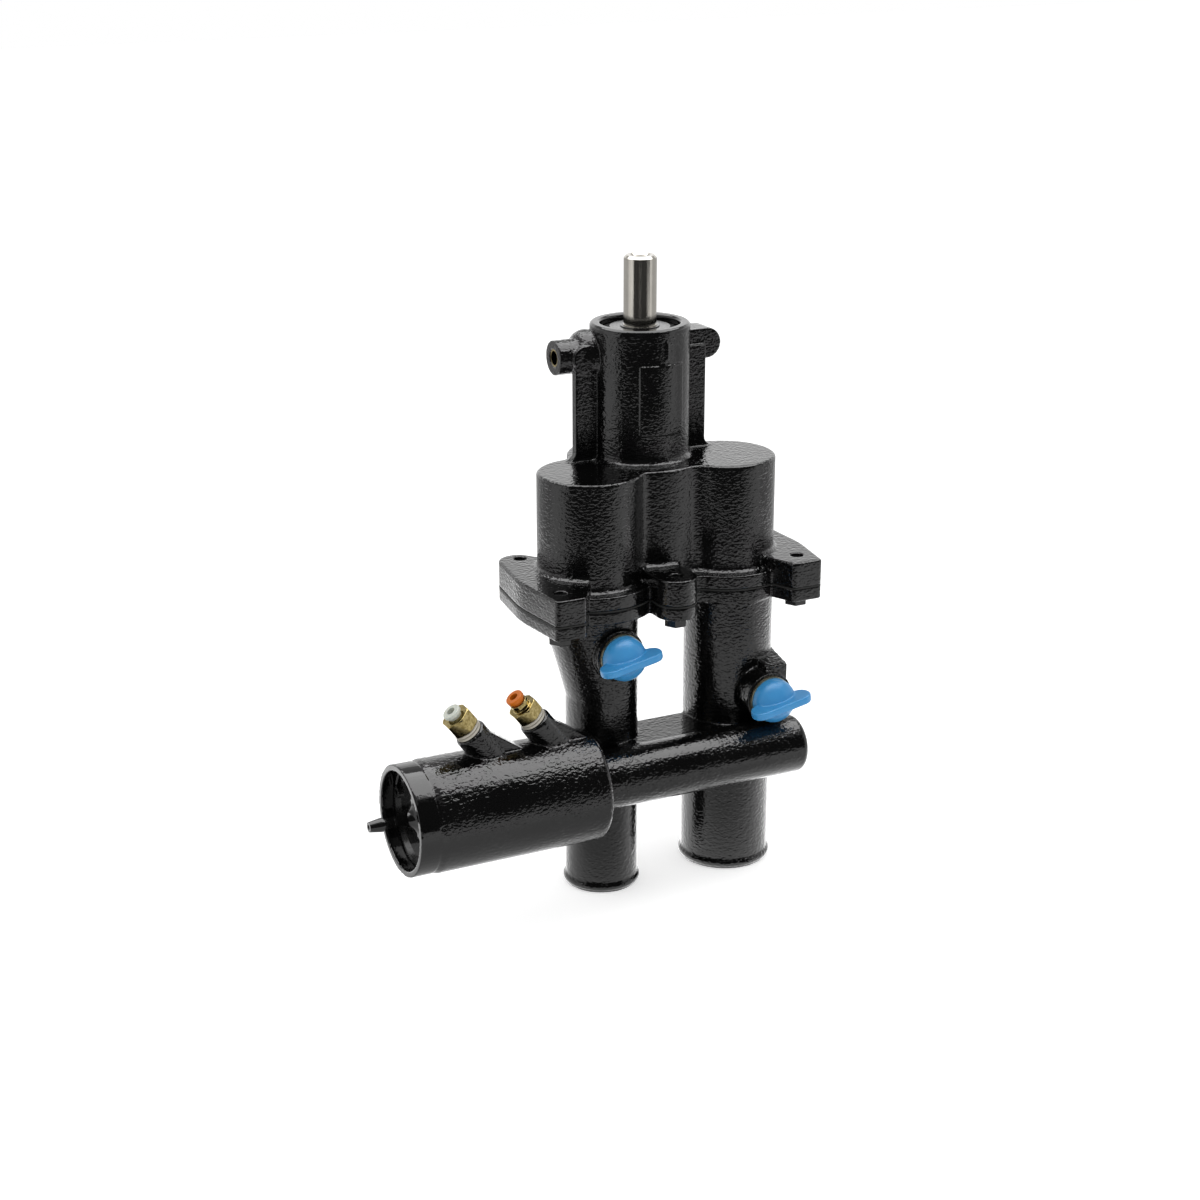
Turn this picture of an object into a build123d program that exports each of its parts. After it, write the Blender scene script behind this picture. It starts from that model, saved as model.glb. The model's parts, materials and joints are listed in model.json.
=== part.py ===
from build123d import *
import os
from math import acos, atan2, cos, degrees, hypot, pi, radians, sin

os.makedirs("parts", exist_ok=True)

# Engine-driven seawater pump with an air-operated drain valve, in millimetres.
# The drive shaft's axis is Z, the origin is where it leaves the housing rim, and the
# two hose legs hang down in front of it, at -Y.

# Heights along the shaft axis
tube_height = 64.9        # housing rim to the roof of the three-lobed body
body_height = 59.4        # roof to the gasket face
gasket_t = 0.8
gasket_lip = 0.6          # how far the gasket covers the wear plate's edge
deck_t = 6.2              # bolting flange of the lower casting
leg_length = 147.1        # deck to the ends of the hose legs
drain_rise = 68.3         # leg ends to the drain cylinder's axis
z_roof = -tube_height
z_joint = z_roof - body_height
z_deck = z_joint - gasket_t
z_under = z_deck - deck_t
z_foot = z_deck - leg_length
drain_z = z_foot + drain_rise

# Drive shaft and its integral bearing
shaft_r = 7.95
shaft_proud = 31.8
shaft_chamfer = 1.2
shaft_hole_r = 3.9
shaft_hole_depth = 22.0
shaft_sink_r = 5.0
shaft_relief_r = 7.6      # undercut between the pulley seat and the slinger
shaft_relief_top = -0.4
shaft_relief_width = 1.1
bearing_r = 19.05
bearing_length = 42.0
bearing_recess = 3.5
bearing_wall = 3.7
ball_r = 4.0
ball_count = 8
roller_r = 3.65
roller_length = 10.0
roller_count = 8
race_clearance = 0.05
row_inset = 11.0          # end of the bearing to the middle of a row
cage_wall = 2.4
cage_height = 11.0
bearing_seal_t = 1.5
bearing_seal_r = 14.9
bearing_seal_proud = 1.3   # top seal above the ring
slinger_r = 9.3
slinger_t = 1.6
running_gap = 0.2

# Housing tube
tube_r = 24.1
rim_chamfer = 1.0
bore_chamfer = 0.8
shaft_cavity_r = 16.5
shaft_cavity_floor = 76.3  # below the rim
seal_web = 3.0
seal_web_bore_r = 9.5
seal_bore_r = 13.0
tube_root = 2.6
weep_r = 3.0
weep_drop = 60.0
tube_sink = 5.0           # below the roof, so that the two join
pad_t = 0.8
pad_from, pad_to = -117.0, -62.0   # degrees round the shaft axis
pad_top, pad_bottom = 17.0, 50.4
mark_angle = -85.0
mark_width = 1.2
mark_top, mark_bottom = 6.5, 14.5

# Three-lobed body
lobe_r = 25.0
lobe_x = 36.5
lobe_y = -19.0
centre_lobe_r = 35.2
valley_r = 7.0
roof_round = 1.3
roof_wall = 5.5
passage_r = 16.5
passage_shift = 3.0       # passage centre, outwards from the lobe centre
chamber_r = 24.5
chamber_height = 33.0
port_width = 13.0
port_height = 21.0

# Flanges, ears and their screws
rim_margin = 6.5
rim_t = 6.6
ear_t = 12.6
ear_front_y = -60.6
ear_corner_r = 2.2
left_ear_inner_x = 57.6   # distances from the shaft axis
left_ear_outer_x = 73.7
left_ear_bulge_x = 76.4
right_ear_inner_x = 52.0
right_ear_outer_x = 68.8
right_ear_bulge_x = 73.4
ear_bulge_r = 60.0
ear_bulge_y = -27.0
ear_back_x = 63.2
ear_back_y = 4.2
ear_back_r = 9.4
left_screw_x, left_screw_y = 66.3, -49.1
right_screw_x, right_screw_y = 61.2, -48.6
back_screw_x, back_screw_y = 61.2, 6.4
mid_ear_r = 10.0
mid_ear_x = -6.4
mid_ear_y = -50.5
rear_ear_x = 8.0
rear_ear_y = 47.0
root_size = 1.6           # casting fillet where the lobes stand on the flange
screw_r = 3.1
screw_hole_r = 3.3
screw_head_af = 10.0
screw_head_h = 3.8
screw_collar_r = 6.0
screw_collar_t = 1.2
screw_tip_gap = 1.4
edge_round = 0.8

# Arms and ribs on the tube
arm_r = 8.35
arm_y = 7.6
arm_z = -15.3
arm_end_x = -42.2
arm_root_r = 12.2
arm_root_x = -31.5        # where the arm begins to flare into the tube
cross_boss_r = 6.35
cross_boss_x = -29.6
cross_boss_front = -2.4
bush_r = 4.2
bush_bore_r = 3.4
bush_length = 19.5
bush_inset = 0.5
lug_r = 7.4
lug_x = 37.2
lug_z = -14.4
lug_y0, lug_y1 = 0.2, 14.4
rib_outer_x = 35.0
rib_t = 4.2
rib_foot = 5.0

# Hose legs
leg_x = 34.75
leg_y = -28.5
outlet_r = 17.7
inlet_r = 21.85
leg_wall = 3.0
bead_r = 2.0
bead_proud = 1.25
bead_inset = 0.9
flare_start = 48.0        # below the deck
flare_mid = 24.0
flare_mid_r, flare_mid_x = 20.4, 37.9
flare_top_r, flare_top_x = 23.0, 40.6

# Drain cylinder, cross tube and web
drain_y = -61.5
cylinder_r = 26.6
cylinder_bore_r = 23.2
cylinder_x0 = -153.5
cylinder_x1 = -57.0
cylinder_floor = 6.0
collar_length = 9.5
collar_r = 26.1
collar_slope = 3.2        # cone from the collar up to the barrel
collar_step = 0.4
cross_r = 14.2
cross_x1 = 55.5
cross_round = 3.0
valve_bore_r = 9.0
valve_bore_x1 = 50.5
drain_hole_r = 4.0
web_top = 9.7             # above the drain axis
web_bottom = 8.3          # below it
web_back_y = -23.0

# Threaded drain plugs and their bosses
plug_ring_r = 11.0
plug_ring_t = 1.7
plug_head_r = 10.7
plug_dome = 12.2
plug_thread_r = 6.5
plug_thread_length = 14.0
plug_hole_clearance = 0.05
plug_tilt = 11.0
wing_half = 16.0
wing_t = 3.8
wing_root, wing_tip = 4.6, 16.4    # from the boss face
plug_boss_r = 12.4
outlet_plug_face = -49.2
outlet_plug_drop = 22.9   # below the deck
inlet_plug_x = 40.0
inlet_plug_face = -62.0
inlet_plug_rise = 26.2    # above the drain axis
plug_block_x1 = 51.8
plug_block_back_x = 55.1
plug_block_setback = 4.0  # behind the inlet plug's boss face
plug_block_below, plug_block_above = 20.5, 14.5
plug_block_hood = 3.6      # how much its top climbs towards the leg
outlet_plug = (-leg_x, outlet_plug_face, z_deck - outlet_plug_drop)
inlet_plug = (inlet_plug_x, inlet_plug_face, drain_z + inlet_plug_rise)

# Air ports and push-in fittings
port_lean = 37.0
port_x = (-110.5, -78.2)  # where each port's axis leaves the cylinder's top line
port_rise = 13.5
port_boss_r = 7.6
port_drill_r = 2.2
port_thread_r = 4.9
port_thread_depth = 9.0
port_boss_sink = 10.6     # how far a boss runs on below the cylinder's top line
gusset_width = 10.0
gusset_reach = 17.0
gusset_sink = 6.0
hex_af = 12.7
hex_round = 0.7
hex_start = 3.3
hex_turn = 30.0
fitting_ring_r = 6.45      # ribbed nylon ring under the hexagon
fitting_ring_rib = 0.35
outer_hex_h = 8.0
inner_hex_h = 6.5
inner_neck_h = 3.3
neck_r = 4.3
fitting_bore_r = 2.1
socket_r = 3.3
socket_depth = 9.0
collet_clearance = 0.05
ring_clearance = 0.05
collet_head_r = 4.35
collet_head_h = 2.0
collet_gap = 1.3
collet_bore_r = 2.05
collet_shank = 6.0
tube_seal_r = 0.6

# Drain piston and valve
piston_clearance = 0.08
piston_r = cylinder_bore_r - piston_clearance
piston_x0 = -99.0
piston_t = 9.0
piston_hub_r = 8.0
piston_web = 4.0
seal_section = 1.7
rod_r = 3.0
rod_clearance = 0.05
guide_flange_r = 13.0
guide_flange_t = 3.0
guide_length = 12.0
valve_land_length = 11.0
valve_clearance = 0.06

# End cap with its hose nipple
cap_inset = 7.5           # from the end of the cylinder to the face
cap_face_x = cylinder_x0 + cap_inset
cap_t = 8.0
cap_clearance = 0.05
cap_boss_r = 8.6
cap_boss_h = 0.4
cap_neck_r = 3.1
cap_neck_h = 6.0
cap_taper_h = 10.8
quarter_middle = 1 - 0.5 ** 0.5   # where the middle of a quarter round lies in its square
nipple_r = 2.6
nipple_bore_r = 1.2
nipple_reach = 22.6       # outwards from the face
nipple_tip_x = cap_face_x - nipple_reach
barb_r = 3.3
barb_length = 6.6
barb_tip_r = 2.4
snap_t = 1.4
snap_depth = 1.0
snap_width = 2.6
snap_gap = 40.0           # degrees left open
snap_turn = 54.0          # of the opening, from the top towards the back
snap_lug_r = 2.9
snap_lug_hole_r = 1.2
snap_lug_inset = 3.2      # lug centre, inwards from the cylinder bore

# Impeller and wear parts
insert_r = 10.2
hub_r = 13.0
blade_count = 6
blade_t = 3.2
blade_tip_r = 2.2
impeller_r = 22.8
impeller_side_gap = 0.3
cam_t = 1.4
cam_span = 64.0
cam_angle = -90.0         # middle of the cam round the shaft axis
wear_t = 1.2
wear_r = 25.8
seal_ring_r = 12.0
shaft_seal_t = 6.4
shaft_seal_lip_r = 8.05
deflector_r = 12.0
deflector_t = 4.0
deflector_drop = 60.0


def rod_z(radius, low, high, x=0.0, y=0.0):
    rod = Cylinder(radius, high - low, align=(Align.CENTER, Align.CENTER, Align.MIN))
    return Pos(x, y, low) * rod


def rod_x(radius, low, high, y, z):
    rod = Cylinder(radius, high - low, align=(Align.CENTER, Align.CENTER, Align.MIN))
    return Pos(low, y, z) * Rot(0, 90, 0) * rod


def rod_y(radius, front, back, x, z):
    """A cylinder along Y, from the smaller y to the larger."""
    rod = Cylinder(radius, back - front, align=(Align.CENTER, Align.CENTER, Align.MIN))
    return Pos(x, back, z) * Rot(90, 0, 0) * rod


def block(x0, x1, y0, y1, z0, z1):
    return Pos((x0 + x1) / 2, (y0 + y1) / 2, (z0 + z1) / 2) * Box(x1 - x0, y1 - y0, z1 - z0)


def turned(points):
    """A body of revolution about Z from (radius, z) corners."""
    return revolve(Plane.XZ * make_face(Polyline(*points, close=True)), Axis.Z)


def ring_z(outer, inner, low, high):
    return rod_z(outer, low, high) - rod_z(inner, low - 1, high + 1)


def torus_at(place, major, minor):
    return place * Torus(major, minor)


def root_fillet(radius, size, z):
    """The concave casting fillet where a round tube stands on a flat face."""
    inner = radius - 1
    outline = Polyline((inner, z - 1), (radius + size, z - 1), (radius + size, z))
    arc = RadiusArc((radius + size, z), (radius, z + size), size)
    close = Polyline((radius, z + size), (inner, z + size), (inner, z - 1))
    return revolve(Plane.XZ * make_face([outline, arc, close]), Axis.Z)


def belt(circles):
    """The taut outline round circles given anticlockwise as (x, y, radius)."""
    count = len(circles)
    angles = []
    for i in range(count):
        x0, y0, r0 = circles[i]
        x1, y1, r1 = circles[(i + 1) % count]
        run = atan2(y1 - y0, x1 - x0)
        angles.append(run - acos((r0 - r1) / hypot(x1 - x0, y1 - y0)))

    def on(circle, angle):
        x, y, radius = circle
        return x + radius * cos(angle), y + radius * sin(angle)

    edges = []
    for i in range(count):
        arrive, leave = angles[i - 1], angles[i]
        while leave < arrive:
            leave += 2 * pi
        circle = circles[i]
        edges.append(ThreePointArc(on(circle, arrive), on(circle, (arrive + leave) / 2), on(circle, leave)))
        edges.append(Line(on(circle, leave), on(circles[(i + 1) % count], leave)))
    return make_face(edges)


def lobed_profile(margin):
    """Outline of the three-lobed body, grown outwards by the margin."""
    side = Circle(lobe_r + margin)
    outline = Circle(centre_lobe_r + margin) + Pos(lobe_x, lobe_y) * side
    outline += Pos(-lobe_x, lobe_y) * side
    return offset(offset(outline, valley_r), -valley_r)


def ear_profile(inner_x, outer_x, bulge_x):
    """A side ear in plan, on the right: bowed outer edge, square front, round back corner."""
    front_y = ear_front_y + ear_corner_r
    return belt([
        (lobe_x, lobe_y, ear_corner_r),
        (inner_x + ear_corner_r, front_y, ear_corner_r),
        (outer_x - ear_corner_r, front_y, ear_corner_r),
        (bulge_x - ear_bulge_r, ear_bulge_y, ear_bulge_r),
        (ear_back_x, ear_back_y, ear_back_r),
    ])


def mid_ear_profile(x, y):
    """A single-screw ear reaching out from the middle of the body."""
    return belt([(x, y * 0.5, mid_ear_r), (x, y, mid_ear_r)])


def ears():
    left = ear_profile(left_ear_inner_x, left_ear_outer_x, left_ear_bulge_x)
    right = ear_profile(right_ear_inner_x, right_ear_outer_x, right_ear_bulge_x)
    return [mirror(left, about=Plane.YZ), right, mid_ear_profile(mid_ear_x, mid_ear_y),
            mid_ear_profile(rear_ear_x, rear_ear_y)]


def screw_places():
    return [
        (-left_screw_x, left_screw_y),
        (right_screw_x, right_screw_y),
        (-back_screw_x, back_screw_y),
        (back_screw_x, back_screw_y),
        (mid_ear_x, mid_ear_y),
        (rear_ear_x, rear_ear_y),
    ]


def flange_profile():
    """Outline shared by both flanges: the rim round the lobes with all its ears."""
    outline = lobed_profile(rim_margin)
    for ear in ears():
        outline += ear
    return outline


def lobe_root(z):
    """The sloping casting fillet round the foot of the lobes, above the height z."""
    skirt = lobed_profile(root_size)
    return Pos(0, 0, z) * extrude(skirt, root_size, taper=45)


def passage_centre(side):
    reach = hypot(lobe_x, lobe_y)
    grow = (reach + passage_shift) / reach
    return side * lobe_x * grow, lobe_y * grow


def slab(profile, low, high, rounding):
    """A plate with its upper edge rounded."""
    plate = Pos(0, 0, low) * extrude(profile, high - low)
    if rounding > 0:
        plate = fillet(plate.faces().sort_by(Axis.Z)[-1].edges(), rounding)
    return plate


def curved_pad(outer, start, stop, low, high):
    """A raised patch on the tube's surface between two angles."""
    arc_outer = CenterArc((0, 0), outer, start, stop - start)
    arc_inner = CenterArc((0, 0), tube_r - 1, start, stop - start)
    sides = [Line(arc_outer @ 0, arc_inner @ 0), Line(arc_outer @ 1, arc_inner @ 1)]
    face = make_face([arc_outer, arc_inner] + sides)
    return Pos(0, 0, low) * extrude(face, high - low)


def arm_solids():
    """The pivot arm, its crossing boss, the right lug and the two ribs under them."""
    arm = rod_x(arm_r, arm_end_x, 0, arm_y, arm_z)
    spread = arm_root_r - arm_r
    bell = make_face([
        RadiusArc((arm_r, arm_root_x), (arm_root_r, arm_root_x + 2 * spread), -2 * spread),
        Polyline((arm_root_r, arm_root_x + 2 * spread), (0, arm_root_x + 2 * spread), (0, arm_root_x),
                 (arm_r, arm_root_x)),
    ])
    arm += Pos(0, arm_y, arm_z) * Rot(0, 90, 0) * revolve(Plane.XZ * bell, Axis.Z)
    boss = rod_y(cross_boss_r, cross_boss_front, arm_y + arm_r, cross_boss_x, arm_z)
    lug = rod_y(lug_r, lug_y0, lug_y1, lug_x, lug_z)
    lug += block(0, lug_x, lug_y0, lug_y1, lug_z - lug_r, lug_z + lug_r)
    solids = [arm, boss, lug]
    for side, top in ((-1, arm_z), (1, lug_z)):
        edge = side * rib_outer_x
        low = z_roof - 1
        rib = block(min(edge, 0), max(edge, 0), -rib_t / 2, rib_t / 2, low, top)
        solids.append(rib)
        corner = side * (rib_outer_x + rib_foot)
        foot = make_face([
            Polyline((edge, z_roof + rib_foot), (edge, low), (corner, low), (corner, z_roof)),
            RadiusArc((corner, z_roof), (edge, z_roof + rib_foot), side * rib_foot),
        ])
        solids.append(extrude(Plane.XZ * foot, rib_t / 2, both=True))
    return solids


def pump_body():
    """Upper casting: housing tube, lobes, flange and ears, cored and bored."""
    body = slab(lobed_profile(0), z_joint, z_roof, roof_round)
    body += Pos(0, 0, z_joint) * extrude(lobed_profile(rim_margin), rim_t)
    body += lobe_root(z_joint + rim_t)
    ear_root = lobe_root(z_joint + ear_t)
    for ear in ears():
        body += slab(ear, z_joint, z_joint + ear_t, edge_round)
        body += ear_root & (Pos(0, 0, z_joint + ear_t) * extrude(ear, root_size))
    tube = chamfer(rod_z(tube_r, z_roof - tube_sink, 0).faces().sort_by(Axis.Z)[-1].edges(), rim_chamfer)
    body += tube
    body += root_fillet(tube_r, tube_root, z_roof)
    for solid in arm_solids():
        body += solid
    body += curved_pad(tube_r + pad_t, pad_from, pad_to, -pad_bottom, -pad_top)
    half_mark = degrees(mark_width / 2 / tube_r)
    body += curved_pad(tube_r + pad_t, mark_angle - half_mark, mark_angle + half_mark,
                       -mark_bottom, -mark_top)

    bearing_floor = -(bearing_recess + bearing_length)
    chamber_top = z_joint + chamber_height
    web_low = -shaft_cavity_floor - seal_web
    body -= rod_z(bearing_r, bearing_floor, 1)
    body -= turned([(0, -bore_chamfer), (bearing_r, -bore_chamfer),
                    (bearing_r + bore_chamfer + 1, 1), (0, 1)])
    body -= rod_z(shaft_cavity_r, -shaft_cavity_floor, bearing_floor + 1)
    body -= rod_z(seal_web_bore_r, web_low - 1, -shaft_cavity_floor + 1)
    body -= rod_z(seal_bore_r, chamber_top - 1, web_low)
    body -= rod_z(chamber_r, z_joint - 1, chamber_top)
    body -= rod_z(wear_r, z_joint - 1, z_joint + wear_t)
    body -= rod_y(weep_r, 0, tube_r + 1, 0, -weep_drop)
    for side in (-1, 1):
        x, y = passage_centre(side)
        body -= rod_z(passage_r, z_joint - 1, z_roof - roof_wall, x, y)
        port = Box(hypot(x, y), port_width, port_height, align=(Align.MIN, Align.CENTER, Align.CENTER))
        turn = degrees(atan2(y, x))
        body -= Pos(0, 0, z_joint + chamber_height / 2) * Rot(0, 0, turn) * port
    for x, y in screw_places():
        body -= rod_z(screw_r, z_joint - 1, z_joint + ear_t + 1, x, y)
    body -= rod_x(bush_r, arm_end_x - 1, arm_end_x + bush_inset + bush_length, arm_y, arm_z)
    return body


def flange_gasket():
    sheet = flange_profile() - Circle(wear_r - gasket_lip)
    for side in (-1, 1):
        sheet -= Pos(*passage_centre(side)) * Circle(passage_r)
    for x, y in screw_places():
        sheet -= Pos(x, y) * Circle(screw_hole_r)
    return Pos(0, 0, z_deck) * extrude(sheet, gasket_t)


def hose_leg(side, radius):
    """One leg with the bead that keeps its hose on."""
    leg = rod_z(radius, z_foot, z_under + 1, side * leg_x, leg_y)
    bead_centre = radius + bead_proud - bead_r
    bead_z = z_foot + bead_inset + bead_r
    leg += torus_at(Pos(side * leg_x, leg_y, bead_z), bead_centre, bead_r)
    return leg


def outlet_flare():
    """The outlet leg widens sideways and back towards its passage, flat in front."""
    sections = [
        (z_deck - flare_start, leg_x, outlet_r),
        (z_deck - flare_mid, flare_mid_x, flare_mid_r),
        (z_under + 0.5, flare_top_x, flare_top_r),
    ]
    front = leg_y - outlet_r
    faces = [Pos(-x, front + radius, z) * Circle(radius) for z, x, radius in sections]
    return loft(Sketch() + faces)


def plug_boss(place, radius):
    x, face_y, z = place
    return rod_y(radius, face_y, leg_y, x, z)


def inlet_plug_block():
    """The squared flank of the inlet plug boss, drafted back to the leg."""
    x0, face_y, z = inlet_plug
    front = face_y + plug_block_setback
    plan = make_face(Polyline((x0, front), (plug_block_x1, front), (plug_block_back_x, leg_y),
                              (x0, leg_y), close=True))
    low, high = z - plug_block_below, z + plug_block_above
    side = make_face(Polyline((front, low), (front, high), (leg_y, high + plug_block_hood),
                              (leg_y, low), close=True))
    width = plug_block_back_x - x0
    return (Pos(0, 0, low) * extrude(plan, high + plug_block_hood - low)
            & Pos(x0, 0, 0) * extrude(Plane.YZ * side, width))


def port_place(index):
    """Location at an air port's boss face, with +Z out along the port."""
    lean = radians(port_lean)
    x = port_x[index] - port_rise * sin(lean)
    z = drain_z + cylinder_r + port_rise * cos(lean)
    return Pos(x, drain_y, z) * Rot(0, -port_lean, 0)


def port_boss(index):
    depth = port_rise + port_boss_sink
    boss = Cylinder(port_boss_r, depth, align=(Align.CENTER, Align.CENTER, Align.MAX))
    boss = chamfer(boss.faces().sort_by(Axis.Z)[-1].edges(), edge_round)
    lean = radians(port_lean)
    face_x = port_x[index] - port_rise * sin(lean)
    face_z = drain_z + cylinder_r + port_rise * cos(lean)
    reach = gusset_width / 2
    top = (face_x + reach * cos(lean), face_z + reach * sin(lean))
    foot = (port_x[index] + gusset_reach, drain_z + cylinder_r - edge_round)
    heel = (port_x[index], drain_z + cylinder_r - gusset_sink)
    wedge = extrude(Plane.XZ * make_face(Polyline(top, foot, heel, close=True)), gusset_width / 2, both=True)
    return [port_place(index) * boss, Pos(0, drain_y, 0) * wedge]


def drain_housing():
    """Lower casting: bolting flange, hose legs, web, drain cylinder and every boss."""
    body = Pos(0, 0, z_under) * extrude(flange_profile(), deck_t)
    body += hose_leg(-1, outlet_r)
    body += hose_leg(1, inlet_r)
    body += outlet_flare()

    cross = rod_x(cross_r, cylinder_x1 - 1, cross_x1, drain_y, drain_z)
    cross = fillet(cross.faces().sort_by(Axis.X)[-1].edges(), cross_round)
    slope_x = cylinder_x0 + collar_length
    barrel = rod_x(cylinder_r, slope_x + collar_slope, cylinder_x1, drain_y, drain_z)
    barrel = fillet(barrel.faces().sort_by(Axis.X)[-1].edges(), cross_round)
    body += cross
    body += barrel
    body += Pos(slope_x, drain_y, drain_z) * Rot(0, 90, 0) * Cone(
        collar_r - collar_step, cylinder_r, collar_slope, align=(Align.CENTER, Align.CENTER, Align.MIN))
    body += rod_x(collar_r, cylinder_x0, slope_x, drain_y, drain_z)
    body += block(-leg_x, leg_x, drain_y, web_back_y, drain_z - web_bottom, drain_z + web_top)
    body += plug_boss(outlet_plug, plug_boss_r)
    body += plug_boss(inlet_plug, plug_boss_r)
    body += inlet_plug_block()
    for index in range(len(port_x)):
        for solid in port_boss(index):
            body += solid

    bore_floor = cylinder_x1 - cylinder_floor
    body -= rod_x(cylinder_bore_r, cylinder_x0 - 1, bore_floor, drain_y, drain_z)
    body -= rod_x(cylinder_bore_r + snap_depth, cap_face_x - snap_t, cap_face_x, drain_y, drain_z)
    body -= rod_x(valve_bore_r, bore_floor - 1, valve_bore_x1, drain_y, drain_z)
    for side, radius in ((-1, outlet_r), (1, inlet_r)):
        body -= rod_z(radius - leg_wall, z_foot - 1, z_deck + 1, side * leg_x, leg_y)
        body -= rod_y(drain_hole_r, drain_y, leg_y, side * leg_x, drain_z)
        body -= rod_z(drain_hole_r, drain_z - cross_r - 1, drain_z, side * leg_x, drain_y)
    for x, face_y, z in (outlet_plug, inlet_plug):
        body -= rod_y(plug_thread_r + plug_hole_clearance, face_y - 1, leg_y, x, z)
        body -= rod_y(plug_boss_r, face_y - plug_boss_r, face_y, x, z)
    for index in range(len(port_x)):
        place = port_place(index)
        down = (Align.CENTER, Align.CENTER, Align.MAX)
        body -= place * Cylinder(port_thread_r, port_thread_depth, align=down)
        body -= place * Cylinder(port_drill_r, port_rise + port_boss_sink, align=down)
    for x, y in screw_places():
        body -= rod_z(screw_hole_r, z_under - 1, z_deck + 1, x, y)
    return body


def drive_shaft():
    """Stainless shaft with the ball groove, drilled and countersunk at its top."""
    low = z_joint + wear_t + impeller_side_gap
    shaft = rod_z(shaft_r, low, shaft_proud)
    top = shaft.faces().sort_by(Axis.Z)[-1].edges()
    bottom = shaft.faces().sort_by(Axis.Z)[0].edges()
    shaft = chamfer(top + bottom, shaft_chamfer)
    shaft -= rod_z(shaft_hole_r, shaft_proud - shaft_hole_depth, shaft_proud + 1)
    sink = shaft_sink_r - shaft_hole_r
    shaft -= turned([(0, shaft_proud - sink), (shaft_hole_r, shaft_proud - sink),
                     (shaft_sink_r, shaft_proud), (shaft_sink_r, shaft_proud + 1),
                     (0, shaft_proud + 1)])
    relief_low = shaft_relief_top - shaft_relief_width
    shaft -= ring_z(shaft_r + 1, shaft_relief_r, relief_low, shaft_relief_top)
    shaft -= torus_at(Pos(0, 0, ball_row_z()), ball_pitch_r(), ball_r + race_clearance)
    return shaft


def ball_row_z():
    return -(bearing_recess + row_inset)


def roller_row_z():
    return -(bearing_recess + bearing_length - row_inset)


def ball_pitch_r():
    return (shaft_r + bearing_r - bearing_wall) / 2


def bearing_outer_ring():
    low = -(bearing_recess + bearing_length)
    ring = ring_z(bearing_r, bearing_r - bearing_wall, low, -bearing_recess)
    edges = ring.edges().filter_by(GeomType.CIRCLE).filter_by(
        lambda edge: edge.radius > bearing_r - 0.01)
    ring = chamfer(edges, edge_round)
    ring -= torus_at(Pos(0, 0, ball_row_z()), ball_pitch_r(), ball_r + race_clearance)
    return ring


def row_of(count, radius, z, piece):
    return [Rot(0, 0, 360 * i / count) * Pos(radius, 0, z) * piece for i in range(count)]


def bearing_balls():
    return row_of(ball_count, ball_pitch_r(), ball_row_z(), Sphere(ball_r))


def bearing_rollers():
    roller = chamfer(Cylinder(roller_r, roller_length).edges().filter_by(GeomType.CIRCLE), 0.4)
    return row_of(roller_count, ball_pitch_r(), roller_row_z(), roller)


def cage(z, count, pocket):
    """A retainer ring with one open pocket for each rolling element."""
    middle = ball_pitch_r()
    ring = ring_z(middle + cage_wall / 2, middle - cage_wall / 2, z - cage_height / 2, z + cage_height / 2)
    for piece in row_of(count, middle, z, pocket):
        ring -= piece
    return ring


def ball_cage():
    pocket = Cylinder(ball_r + 2 * race_clearance, 4 * cage_wall)
    return cage(ball_row_z(), ball_count, Rot(0, 90, 0) * pocket)


def roller_cage():
    gap = race_clearance * 2
    pocket = Box(4 * cage_wall, 2 * (roller_r + gap), roller_length + 2 * gap)
    return cage(roller_row_z(), roller_count, pocket)


def bearing_bottom_seal():
    """Shield pressed into the lower end of the bearing ring, clear of the shaft."""
    low = -(bearing_recess + bearing_length)
    return ring_z(bearing_r - bearing_wall, shaft_r + running_gap, low, low + bearing_seal_t)


def bearing_top_seal():
    """Rubber shield in the upper end of the ring, standing a little proud of it."""
    inner = slinger_r + running_gap
    outer = bearing_r - bearing_wall
    low, ring_top = -bearing_recess - bearing_seal_t, -bearing_recess
    crown = ring_top + bearing_seal_proud
    return turned([(inner, low), (outer, low), (outer, ring_top), (bearing_seal_r, ring_top),
                   (bearing_seal_r, crown - 0.4), (bearing_seal_r - 0.4, crown), (inner, crown)])


def bearing_slinger():
    low = -bearing_recess + running_gap
    hub = ring_z(slinger_r, shaft_r, low, low + slinger_t)
    return chamfer(hub.edges().filter_by(GeomType.CIRCLE).sort_by(Axis.Z)[-1], 0.4)


def shaft_seal():
    """Stationary lip seal pressed into the bore over the impeller chamber."""
    high = -shaft_cavity_floor - seal_web
    low = high - shaft_seal_t
    lip = shaft_seal_lip_r
    return turned([(lip, low), (seal_bore_r, low), (seal_bore_r, high), (lip + 2, high),
                   (lip + 2, high - 2), (lip + 0.6, high - 3.4), (lip + 0.6, low + 1.6)])


def seal_ring():
    """Ceramic face ring that turns with the shaft, between the lip seal and the impeller."""
    high = -shaft_cavity_floor - seal_web - shaft_seal_t - running_gap
    return ring_z(seal_ring_r, shaft_r, impeller_levels()[1], high)


def water_deflector():
    low = -deflector_drop
    return turned([(shaft_r, low), (deflector_r, low), (deflector_r - 0.8, low + deflector_t * 0.4),
                   (shaft_r + 1.6, low + deflector_t * 0.6), (shaft_r + 1.6, low + deflector_t),
                   (shaft_r, low + deflector_t)])


def impeller_levels():
    low = z_joint + wear_t + impeller_side_gap
    return low, z_joint + chamber_height - impeller_side_gap


def impeller():
    """Flexible rubber impeller: hub and straight blades with bulbed tips."""
    low, high = impeller_levels()
    centre = impeller_r - blade_tip_r
    plan = Circle(hub_r)
    for i in range(blade_count):
        blade = Pos(centre / 2, 0) * Rectangle(centre, blade_t) + Pos(centre, 0) * Circle(blade_tip_r)
        plan += Rot(0, 0, 360 * i / blade_count) * blade
    plan -= Circle(insert_r)
    return Pos(0, 0, low) * extrude(plan, high - low)


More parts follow.
